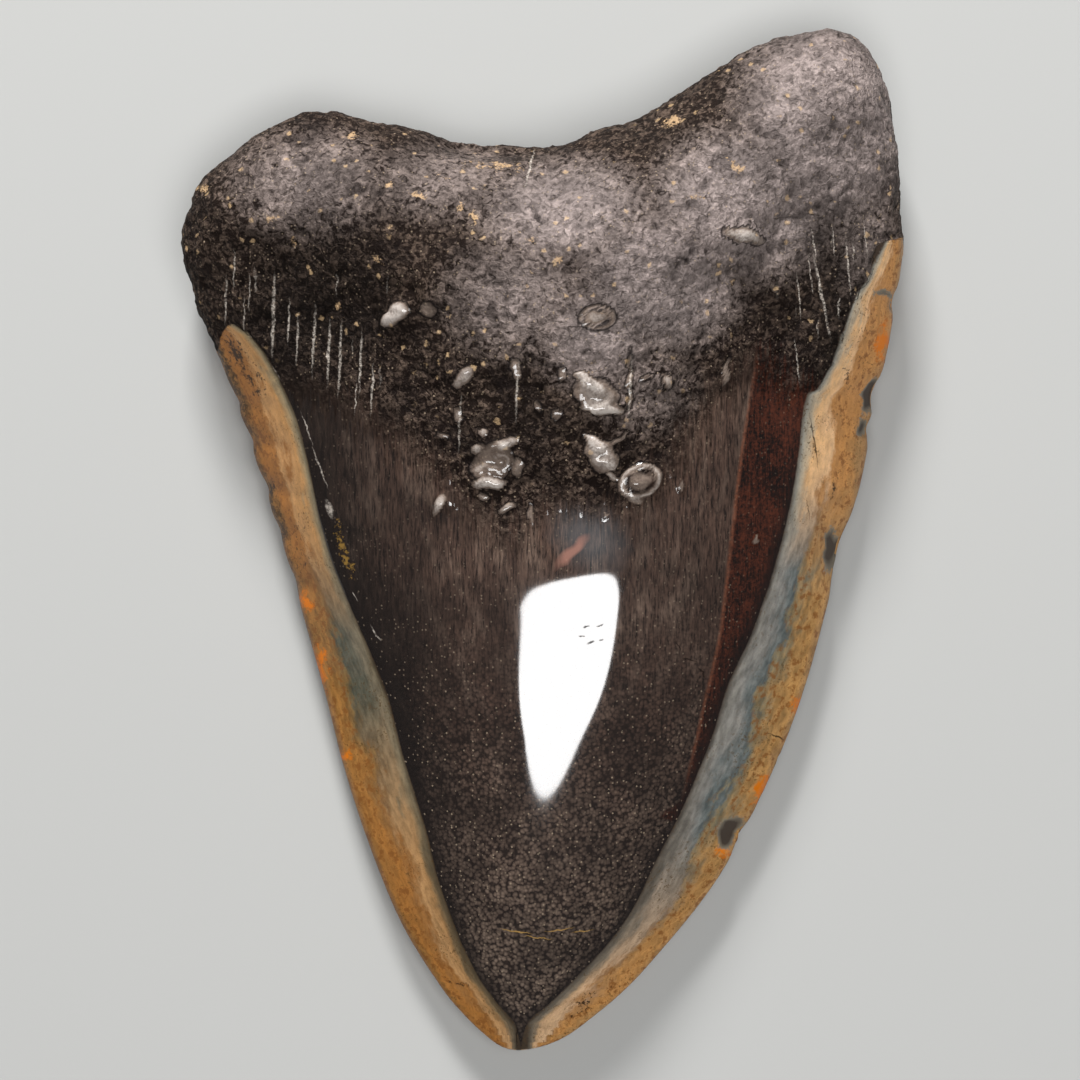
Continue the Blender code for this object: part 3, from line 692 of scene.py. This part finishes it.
def enamel_colour(node, on, looks):
    """Enamel, whose stain runs in streaks along each band and changes from the seam to the cutting edge."""
    # The bands are warm near the root and the tip, and grey between. The left one is grey for a shorter way
    left = node("Math", node("MapRange", on.x, 0.0, -6.0), on.upper, **TIMES)
    grey = node("MapRange", node("Math", left, 8.0, on.y, **TIMES_PLUS), 8.0, -4.0)
    fade = node("Math", left, -18.0, on.y, **TIMES_PLUS)
    grey = node("Math", grey, node("MapRange", fade, -60.0, -38.0, 0.25, 1.0), **TIMES)

    # Streaks 5 mm wide and 8 mm long move the stain's edges to and fro, and finer lines are 1 mm apart
    streaks = node("Math", on.across, 0.2, **TIMES)
    streaks = node("CombineXYZ", streaks, node("Math", on.y, 0.13, **TIMES), left)
    flow = node("TexNoise", streaks, Scale=1.0, Detail=5.0, Roughness=0.66)
    drift = node("MapRange", flow, 0.3, 0.7, -0.22, 0.22)
    drift = node("Math", drift, node("MapRange", on.share, 0.04, 0.3), **TIMES)
    place = node("Math", on.share, drift, **PLUS)
    lines = node("Math", on.across, 1.15, **TIMES)
    lines = node("CombineXYZ", lines, node("Math", on.y, 0.45, **TIMES), left)
    lines = node("TexNoise", lines, Scale=1.0, Detail=2.0)
    darkest = node("MapRange", grey, 0.0, 1.0, 0.86, 0.66)
    lines = node("MapRange", lines, 0.34, 0.66, darkest, 1.15)

    warm = node("ValToRGB", place, stops=[
        (0.0, looks.seam), (0.05, linear("#8F8B80")), (0.12, linear("#B5A48B")), (0.22, looks.cream),
        (0.38, linear("#DBB083")), (0.5, looks.tan), (0.76, linear("#BC8448")), (1.0, linear("#A47C4D"))])
    cool = node("ValToRGB", place, stops=[
        (0.0, looks.seam), (0.07, linear("#89857D")), (0.2, looks.grey_enamel), (0.33, linear("#757875")),
        (0.45, linear("#5F6766")), (0.56, linear("#86795E")), (0.72, linear("#A88150")),
        (1.0, linear("#B98B52"))])
    shell = node("Mix", grey, warm, cool, **BLEND)

    # Dimmer beside the seam near the tip, with painted shade over the left band, which faces away from the
    # light, and clouded all over
    dim = node("MapRange", place, 0.3, 0.08)
    dim = node("Math", dim, node("MapRange", on.y, -26.0, -44.0, 0.0, 0.75), **TIMES)
    shell = node("Mix", dim, shell, linear("#4A3F33"), **BLEND)
    shell = node("Mix", node("Math", left, 0.75, **TIMES), shell, linear("#D3BE92"), **TINT)
    clouds = node("MapRange", on.fine, 0.32, 0.7, 0.8, 1.14)
    clouds = node("Math", clouds, node("MapRange", on.jitter, -0.2, 0.2, 0.9, 1.08), **TIMES)
    clouds = node("Math", clouds, lines, **TIMES)
    shell = node("Mix", 1.0, shell, node("CombineXYZ", clouds, clouds, clouds), **TINT)

    # Dark pepper, brown patches on the outer half, and a stained rim down the left cutting edge
    pepper = node("MapRange", on.fine, 0.54, 0.62)
    pepper = node("Math", pepper, node("MapRange", on.coarse, 0.42, 0.6, 0.1, 0.8), **TIMES)
    shell = node("Mix", pepper, shell, linear("#4A3518"), **BLEND)
    patches = node("MapRange", on.jitter, 0.02, 0.12)
    patches = node("Math", patches, node("MapRange", place, 0.42, 0.6, 0.0, 0.8), **TIMES)
    shell = node("Mix", patches, shell, linear("#77491F"), **BLEND)
    rim = node("Math", node("MapRange", place, 0.84, 1.0), left, **TIMES)
    rim = node("Math", rim, node("MapRange", on.y, -20.0, 6.0, 0.1, 0.9), **TIMES)
    rim = node("Math", rim, node("MapRange", on.mottle, 0.36, 0.5), **TIMES)
    shell = node("Mix", rim, shell, linear("#33240F"), **BLEND)

    # Rust, chips that show flint in two tones, and dark marks
    rusty = on_mark(node, on, on.rust, 0.95, low=0.43, soft=0.32)
    shell = node("Mix", rusty, shell, linear("#CC6E08"), **BLEND)
    deep = node("MapRange", on.flint, 0.15, -0.6)
    flinty = node("Mix", deep, linear("#8F8674"), linear("#3A2E24"), **BLEND)
    shell = node("Mix", on_mark(node, on, on.flint, 1.0, soft=0.2, firm=0.9), shell, flinty, **BLEND)
    stained = on_mark(node, on, on.dark, 0.92, low=0.56, soft=0.13, firm=0.16)
    return node("Mix", stained, shell, linear("#2A1D10"), **BLEND)


def root_colour(node, on, looks):
    """Leathery root, with painted shade in the gaps between its pebbles and a painted highlight on their
    tops. Gives its colour, its pebbles and its lumps too.
    """
    folds = node("TexNoise", on.ragged, Scale=1.15, Detail=2.0, Roughness=0.5, Distortion=0.9)
    pebble = node("Math", on.fine, 0.5, node("Math", on.cell, 0.3, **TIMES), **TIMES_PLUS)
    pebble = node("Math", folds, 1.6, pebble, **TIMES_PLUS)

    # Painted highlight on the pebbles' tops, a painted sheen on the slopes that face the light, painted shade
    # in the gaps
    tone = node("MapRange", pebble, node("MapRange", on.sheen, 0.0, 1.0, 1.05, 0.5), 1.6)
    lit_tops = node("Mix", on.sheen, linear("#66564B"), looks.painted_sheen_colour, **BLEND)
    ground = node("Mix", node("MapRange", on.root, 14.0, 3.0), looks.root, looks.dentine_dark, **BLEND)
    bark = node("Mix", tone, ground, lit_tops, **BLEND)
    # Dark in random blotches
    bark = node("Mix", node("MapRange", on.coarse, 0.6, 0.38, 0.0, 0.45), bark, looks.root_blotch_and_shade, **BLEND)
    # Painted shade in the hollows
    bark = node("Mix", node("MapRange", on.height, 0.0, -0.4, 0.0, 0.85), bark, looks.root_blotch_and_shade, **BLEND)
    # Painted shade down the flanks
    bark = node("Mix", node("Math", on.streaked, 0.6, **TIMES), bark, linear("#0A0604"), **BLEND)

    # Each lump has a foot of painted shade, a mottled side and a pale top, partly bared stone and partly a
    # painted highlight
    painted_foot_shade = node("MapRange", on.raised, 0.0, 0.06)
    painted_foot_shade = node("Math", painted_foot_shade, node("MapRange", on.raised, 0.2, 0.1), **TIMES)
    bark = node("Mix", node("Math", painted_foot_shade, 0.85, **TIMES), bark, looks.root_blotch_and_shade, **BLEND)
    lump = node("MapRange", on.raised, 0.08, 0.26)
    side = node("Mix", on.mottle, linear("#3A2C24"), linear("#84756A"), **BLEND)
    bark = node("Mix", lump, bark, side, **BLEND)
    top = node("MapRange", on.raised, 0.3, 0.58)
    top = node("Math", top, node("MapRange", on.mottle, 0.3, 0.6, 0.35, 1.0), **TIMES)
    return node("Mix", top, bark, looks.bared, **BLEND), pebble, lump


def with_mineral(node, on, looks, paint, is_root):
    """Pale mineral over a colour: dust, larger grit on the root, hairlines, and streaks down the flanks."""
    on_crown = node("MapRange", on.y, 2.0, -30.0, 0.15, 0.75)
    dusty = node("Mix", is_root, on_crown, node("MapRange", on.coarse, 0.36, 0.6, 0.25, 0.75))
    dust = node("Math", specks(node, on.mm, spacing=0.6, size=0.15, amount=0.5), dusty, **TIMES)
    dust = node("Math", dust, node("MapRange", on.mottle, 0.34, 0.6, 0.25, 1.0), **TIMES)
    paint = node("Mix", dust, paint, linear("#9C8A75"), **BLEND)
    grit = specks(node, on.ragged, spacing=1.5, size=0.42, amount=0.2)
    grit = node("Math", grit, node("MapRange", on.root, 2.0, 10.0), **TIMES)
    paint = node("Mix", node("Math", grit, 0.5, **TIMES), paint, linear("#C9A981"), **BLEND)
    pale = strokes(node, on.flat, PALE_LINES)
    pale = node("Math", pale, node("MapRange", on.fine, 0.4, 0.6, 0.06, 0.85), **TIMES)
    paint = node("Mix", node("Math", pale, on.upper, **TIMES), paint, looks.mineral, **BLEND)
    drawn_out = node("VectorMath", on.ragged, (1.1, 0.11, 0.0), **TIMES)
    faint = specks(node, drawn_out, spacing=1.0, size=0.2, amount=0.4)
    faint = node("Math", faint, on.streaked, **TIMES)
    faint = node("Math", faint, node("MapRange", on.fine, 0.42, 0.6, 0.1, 0.8), **TIMES)
    return node("Mix", faint, paint, looks.mineral, **BLEND)


def polished_fossil(looks, layers):
    """Fossil tooth, ground and polished.

    The polish gives the crown a deep gloss like clear varnish, with sharp reflections over its colours.
    The root is left as it was found, rough and dull, and the polish touches only its highest lumps.
    """
    material = bpy.data.materials.new("polished megalodon fossil")
    material.use_nodes = True
    tree = material.node_tree
    shader = tree.nodes["Principled BSDF"]
    node = functools.partial(add, tree)
    on = surface(node, layers)
    body = dentine_colour(node, on, looks)
    shell = enamel_colour(node, on, looks)
    bark, pebble, lump = root_colour(node, on, looks)

    # The polish ends on the root in strokes 0.4 mm wide and 7 mm long, and the enamel has a crisp edge
    hatch = node("VectorMath", on.mm, (2.6, 0.14, 1.0), **TIMES)
    ends = node("MapRange", node("TexNoise", hatch, Scale=1.0, Detail=3.0), 0.3, 0.7, -2.2, 2.2)
    ragged_root = node("Math", on.root, ends, **PLUS)
    is_root = node("Math", node("MapRange", ragged_root, -1.6, 3.0), lump, operation="MAXIMUM")
    is_enamel = node("MapRange", node("Math", on.jitter, 0.15, on.enamel, **TIMES_PLUS), -0.08, 0.1)
    paint = node("Mix", is_root, body, bark, **BLEND)
    paint = with_mineral(node, on, looks, paint, is_root)
    paint = node("Mix", is_enamel, paint, shell, **BLEND)

    # Golden veins, dark cracks, golden flecks and a salmon stain lie over every part
    veins = node("Math", strokes(node, on.flat, GOLD_LINES), on.upper, **TIMES)
    paint = node("Mix", node("Math", veins, 0.75, **TIMES), paint, linear("#B08A4A"), **BLEND)
    cracks = node("Math", strokes(node, on.flat, DARK_LINES), on.upper, **TIMES)
    paint = node("Mix", node("Math", cracks, 0.85, **TIMES), paint, linear("#150D08"), **BLEND)
    flecks = node("Mix", node("MapRange", on.root, 2.0, 8.0), linear("#8F6E30"), linear("#BC9C77"), **BLEND)
    paint = node("Mix", on_mark(node, on, on.gold, 0.75, low=0.54), paint, flecks, **BLEND)
    salmon = node("MapRange", on.salmon, 0.2, -0.3, 0.0, 0.7)
    paint = node("Mix", salmon, paint, linear("#94685A"), **BLEND)
    tree.links.new(paint, shader.inputs["Base Color"])

    # The polish is a clear coat with the IOR of apatite, the mineral of teeth. Enamel takes less of it than
    # dentine, and a crack has almost none
    polish = node("MapRange", ragged_root, -0.6, -2.6)
    on_lump = node("MapRange", on.raised, 0.0, 0.05)
    polish = node("Mix", on_lump, polish, node("MapRange", lump, 0.0, 1.0, 0.0, 0.5))
    polish = node("Mix", is_enamel, polish, 0.35)
    polish = node("Math", polish, node("MapRange", cracks, 0.0, 1.0, 1.0, 0.1), **TIMES)
    tree.links.new(polish, shader.inputs["Coat Weight"])
    shader.inputs["Coat Roughness"].default_value = 0.05
    shader.inputs["Coat IOR"].default_value = 1.62
    rough = node("MapRange", on.sheen, 0.0, 1.0, 0.7, 0.5)
    tree.links.new(rough, shader.inputs["Roughness"])
    shader.inputs["Specular IOR Level"].default_value = 0.08

    # The pebbles on the root stand up, and the crown is flat
    stands_up = node("MapRange", on.root, -1.5, 4.0)
    stands_up = node("Math", stands_up, node("MapRange", lump, 0.0, 1.0, 1.0, 0.2), **TIMES)
    pebbled = node("Math", pebble, stands_up, **TIMES)
    bump = node("Bump", Height=pebbled, Distance=looks.fine_grain, Strength=1.0)
    tree.links.new(bump, shader.inputs["Normal"])
    return material


def matt_paper(looks):
    """Matt paper backdrop: an even pale ground with soft shadows and no shine."""
    material = bpy.data.materials.new("matt paper backdrop")
    material.use_nodes = True
    shader = material.node_tree.nodes["Principled BSDF"]
    shader.inputs["Base Color"].default_value = (*looks.floor, 1.0)
    shader.inputs["Roughness"].default_value = 0.85
    return material


# ---------------------------------------------------------------- stage


def light(name, place, aim, size, power, shape="RECTANGLE"):
    """A softbox that faces aim. Its place, its aim and its size are in metres."""
    bpy.ops.object.light_add(type="AREA", location=place)
    lamp = bpy.context.object
    lamp.name = name
    lamp.data.shape = shape
    lamp.data.size, lamp.data.size_y = size
    lamp.data.energy = power
    lamp.rotation_euler = (Vector(aim) - Vector(place)).to_track_quat("-Z", "Y").to_euler()
    return lamp


class FOSSIL_OT_stage(bpy.types.Operator):
    """Add the floor, the lights and the camera"""

    bl_idname = "fossil.stage"
    bl_label = "Stage"

    def execute(self, context):
        looks = context.scene.stage_looks
        bpy.ops.object.select_all(action="DESELECT")
        bpy.ops.mesh.primitive_plane_add(size=FLOOR_SIDE, location=(0.0, 0.0, CAD_LOW.z))
        floor = bpy.context.object
        floor.name = "floor"
        floor.data.materials.append(matt_paper(looks))

        # The key lights the root from above it, and the reflector is the glint on the crown
        light("key softbox", (-0.12, 0.90, 0.44), (0.0, 0.03, 0.0), (0.24, 0.16), looks.key)
        wide = light("wide softbox", (0.10, -0.20, 1.1), (0.0, 0.0, 0.0), (0.9, 0.7), looks.wide)
        wide.visible_glossy = False
        over_crown, crown, oval = (0.04, -0.342, 0.85), (0.0, -0.02, 0.0), (0.66, 0.26)
        glint = light("crown reflector", over_crown, crown, oval, looks.reflector, "ELLIPSE")
        glint.visible_diffuse = False
        world = bpy.data.worlds.new("dim room")
        world.use_nodes = True
        world.node_tree.nodes["Background"].inputs["Color"].default_value = ROOM_LIGHT
        world.node_tree.nodes["Background"].inputs["Strength"].default_value = ROOM_STRENGTH
        context.scene.world = world

        bpy.ops.object.camera_add(location=(*CAMERA_OVER, looks.camera_height), rotation=(0.0, 0.0, 0.0))
        camera = bpy.context.object
        camera.data.lens = CAMERA_LENS
        camera.data.clip_start = 0.01
        context.scene.camera = camera
        context.scene.view_settings.view_transform = "Standard"
        return {"FINISHED"}


class FOSSIL_PT_panel(bpy.types.Panel):
    """Lists the pieces and what can be changed on them"""

    bl_label = "Fossil tooth"
    bl_space_type = "VIEW_3D"
    bl_region_type = "UI"
    bl_category = "Fossil"

    def draw(self, context):
        scene = context.scene
        for looks, operator in ((scene.tooth_looks, "fossil.tooth"), (scene.stage_looks, "fossil.stage")):
            box = self.layout.box()
            for name in looks.__annotations__:
                box.prop(looks, name)
            box.operator(operator)


CLASSES = (ToothLooks, StageLooks, FOSSIL_OT_tooth, FOSSIL_OT_stage, FOSSIL_PT_panel)


def register():
    for each in CLASSES:
        bpy.utils.register_class(each)
    bpy.types.Scene.tooth_looks = bpy.props.PointerProperty(type=ToothLooks)
    bpy.types.Scene.stage_looks = bpy.props.PointerProperty(type=StageLooks)


def unregister():
    del bpy.types.Scene.tooth_looks, bpy.types.Scene.stage_looks
    for each in reversed(CLASSES):
        bpy.utils.unregister_class(each)


def main():
    register()
    bpy.ops.fossil.tooth()
    bpy.ops.fossil.stage()


if __name__ == "__main__":
    main()
